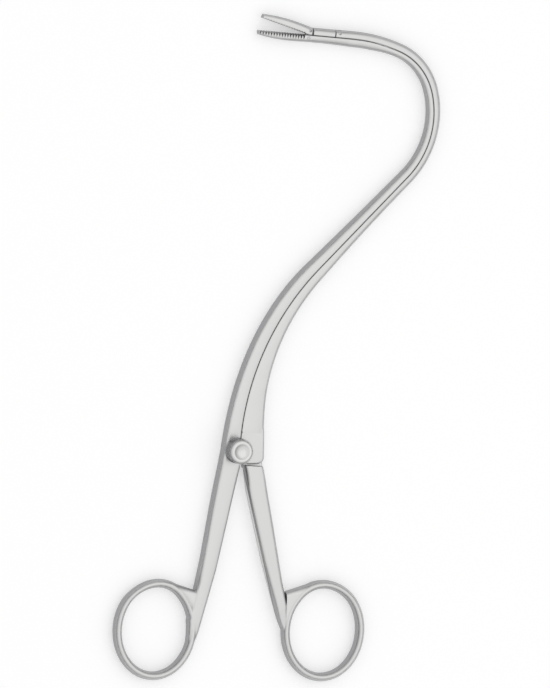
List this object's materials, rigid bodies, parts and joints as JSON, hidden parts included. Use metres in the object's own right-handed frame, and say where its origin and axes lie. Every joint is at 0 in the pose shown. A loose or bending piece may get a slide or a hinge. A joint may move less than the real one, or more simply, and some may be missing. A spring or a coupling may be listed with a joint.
{
  "type": "nephrostomy forceps",
  "caption": "Nephrostomy forceps with an S-bent neck of sliding rails, a hinged serrated jaw at the hooked tip, a knurled thumb screw at the pivot and oval finger rings.",
  "frame": {"origin": "on the thumb screw's axis, in the plane that the shanks' backs rest on", "axes": "+Y from the pivot towards the hooked nose, +X towards the moving handle, +Z out of the plane that it lies on, along the thumb screw towards its knurled head"},
  "size_m": [0.1121, 0.2319, 0.0106],
  "materials": {
    "forged_steel": "satin",
    "screw_steel": "turned",
    "pin_steel": "ground"
  },
  "bodies": {
    "guide": {"fixed_half": "forged_steel", "jaw_hinge_pin": "pin_steel", "guide_stud_1": "pin_steel", "guide_stud_2": "pin_steel", "guide_stud_3": "pin_steel", "guide_stud_4": "pin_steel"},
    "lever": {"moving_handle": "forged_steel", "drive_stud": "pin_steel"},
    "slider": {"sliding_rail": "forged_steel"},
    "nose": {"link_rear_pin": "pin_steel"},
    "link": {"slide_link": "forged_steel"},
    "jaw": {"upper_jaw": "forged_steel", "link_front_pin": "pin_steel"},
    "screw": {"thumb_screw": "screw_steel"}
  },
  "joints": [
    {"name": "handle_pivot", "type": "hinge", "parent": "guide", "child": "lever", "pos_m": [0, 0, 0], "axis": [0, 0, 1], "range_deg": [-13.4, 3]},
    {"name": "rail_slide", "type": "hinge", "parent": "guide", "child": "slider", "pos_m": [0.0938, -0.0018, 0], "axis": [0, 0, 1], "range_deg": [-0.37598, 0.084174], "deforming": ["sliding_rail"]},
    {"name": "rail_front", "type": "slide", "parent": "slider", "child": "nose", "axis": [-0.9744, -0.2248, 0], "range_m": [-0.00036, 0.00161]},
    {"name": "link_pivot", "type": "hinge", "parent": "nose", "child": "link", "pos_m": [0.0318, 0.14475, 0], "axis": [0, 0, 1], "range_deg": [-0.084174, 0.37598]},
    {"name": "jaw_hinge", "type": "hinge", "parent": "guide", "child": "jaw", "pos_m": [0.02022, 0.14318, 0], "axis": [0, 0, 1], "range_deg": [-3, 13.41]},
    {"name": "screw_turn", "type": "hinge", "parent": "guide", "child": "screw", "pos_m": [0, 0, 0], "axis": [0, 0, 1], "continuous": true}
  ],
  "couplings": [
    {"joint": "rail_slide", "follows": "handle_pivot", "ratio": 0.028044},
    {"joint": "rail_front", "follows": "handle_pivot", "m_per_rad": -0.0068656},
    {"joint": "link_pivot", "follows": "handle_pivot", "ratio": -0.028044},
    {"joint": "jaw_hinge", "follows": "handle_pivot", "ratio": -1}
  ]
}
